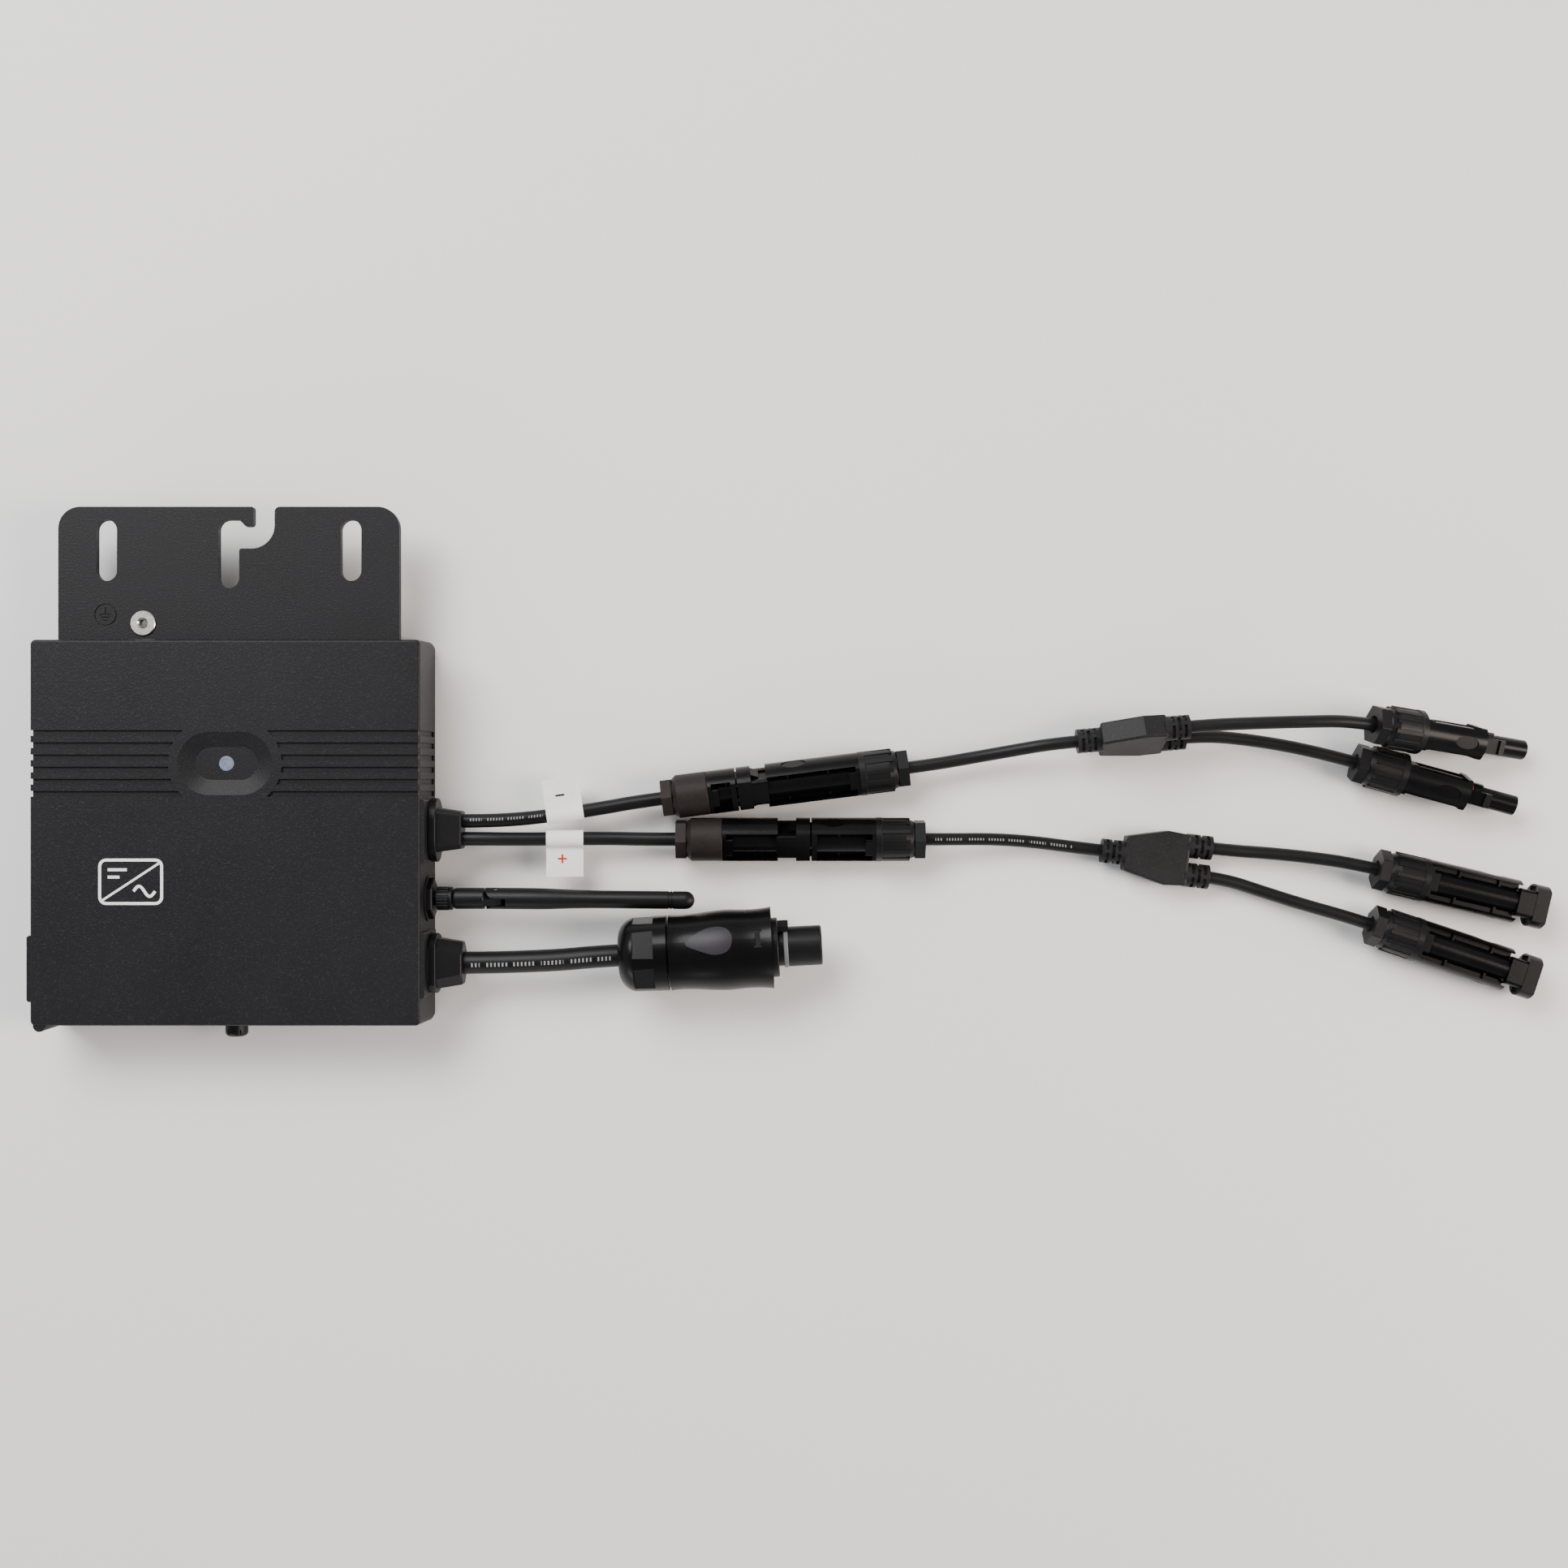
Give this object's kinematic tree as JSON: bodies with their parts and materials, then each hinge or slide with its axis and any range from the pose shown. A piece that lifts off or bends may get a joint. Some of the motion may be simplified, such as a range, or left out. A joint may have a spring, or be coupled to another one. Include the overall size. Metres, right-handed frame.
{
  "type": "micro inverter",
  "caption": "Flat solar micro inverter in a die-cast case with a slotted mounting flange, folding antenna, mains plug lead and Y-branched solar input leads.",
  "frame": {"origin": "centre of the case's back face", "axes": "+Z out of the lid, +Y towards the mounting flange, +X towards the side the leads leave from"},
  "size_m": [0.633, 0.22, 0.0343],
  "materials": {
    "powder_coat": "fine-textured black powder coat",
    "black_seal": "black sponge",
    "zinc_screw": "zinc-plated steel",
    "lens": "frosted clear plastic",
    "bare_insert": "bright plated steel",
    "satin_black": "satin moulded black",
    "gland_plastic": "moulded, satin",
    "board_green": "solder mask",
    "ferrite": "ferrite with taped windings",
    "can_metal": "aluminium can",
    "chip_black": "moulded epoxy",
    "pad_grey": "thermal pad",
    "relay_blue": "moulded case",
    "winding": "enamelled copper winding",
    "shield": "tinned shield",
    "wire_skin": "insulated wire",
    "jacket": "satin black jacket",
    "flag_paper": "matte white film",
    "gloss_black": "glossy moulded black",
    "cap_plastic": "matte brownish black",
    "red_seal": "dull red silicone",
    "contact_metal": "tinned copper",
    "grey_ring": "pale grey ring",
    "badge_grey": "smooth grey inlay",
    "splitter_plastic": "satin charcoal, fine grain"
  },
  "bodies": {
    "root": {"housing": "powder_coat", "back_cover": "powder_coat", "cover_gasket": "black_seal", "cover_screws": "zinc_screw", "status_lens": "lens", "ground_insert": "bare_insert", "vent_plug": "satin_black", "dc_gland": "gland_plastic", "ac_gland": "gland_plastic", "gland_gaskets": "black_seal", "antenna_base": "gland_plastic", "circuit_board": "board_green", "board_screws": "zinc_screw", "transformers": "ferrite", "bulk_capacitors": "can_metal", "power_transistors": "chip_black", "thermal_pads": "pad_grey", "output_relays": "relay_blue", "output_choke": "winding", "wireless_module": "shield", "internal_leads": "wire_skin", "minus_lead": "jacket", "plus_lead": "jacket", "ac_lead": "jacket", "lead_labels": "flag_paper", "minus_plug": "gloss_black", "minus_plug_cap": "cap_plastic", "minus_plug_seal": "red_seal", "plus_socket": "gloss_black", "plus_socket_cap": "cap_plastic", "lead_contacts": "contact_metal", "ac_plug_nut": "gloss_black", "ac_plug_sleeve": "gloss_black", "ac_plug_insert": "satin_black", "ac_plug_seal": "grey_ring", "ac_plug_contacts": "contact_metal", "ac_plug_badge": "badge_grey"},
    "nut": {"antenna_nut": "satin_black"},
    "swivel": {"antenna_collar": "satin_black", "antenna_hinge_pin": "zinc_screw"},
    "whip": {"antenna_whip": "satin_black"},
    "minus_adapter": {"minus_adapter_lead": "jacket", "minus_branch_lead_upper": "jacket", "minus_branch_lead_lower": "jacket", "minus_splitter": "splitter_plastic", "minus_adapter_socket": "gloss_black", "minus_adapter_nuts": "satin_black", "minus_adapter_contacts": "contact_metal", "minus_branch_plugs": "gloss_black", "minus_branch_seals": "red_seal"},
    "plus_adapter": {"plus_adapter_lead": "jacket", "plus_branch_lead_upper": "jacket", "plus_branch_lead_lower": "jacket", "plus_splitter": "splitter_plastic", "plus_adapter_plug": "gloss_black", "plus_adapter_nuts": "satin_black", "plus_adapter_contacts": "contact_metal", "plus_branch_socket_upper": "gloss_black", "plus_branch_socket_lower": "gloss_black", "plus_adapter_seal": "red_seal"}
  },
  "joints": [
    {"name": "antenna_nut_spin", "type": "hinge", "parent": "root", "child": "nut", "pos_m": [0.086, -0.02785, 0.0152], "axis": [1, 0, 0], "continuous": true},
    {"name": "antenna_swivel", "type": "hinge", "parent": "root", "child": "swivel", "pos_m": [0.095, -0.02785, 0.0152], "axis": [1, 0, 0], "continuous": true},
    {"name": "antenna_tilt", "type": "hinge", "parent": "swivel", "child": "whip", "pos_m": [0.109, -0.02785, 0.0152], "axis": [0, -0.9135, -0.4067], "range_deg": [-1.2, 88.8]},
    {"name": "minus_adapter_unplug", "type": "slide", "parent": "root", "child": "minus_adapter", "axis": [0.9923, 0.1236, 0], "range_m": [0, 0.04]},
    {"name": "plus_adapter_unplug", "type": "slide", "parent": "root", "child": "plus_adapter", "axis": [1, 0, 0], "range_m": [0, 0.04]}
  ]
}
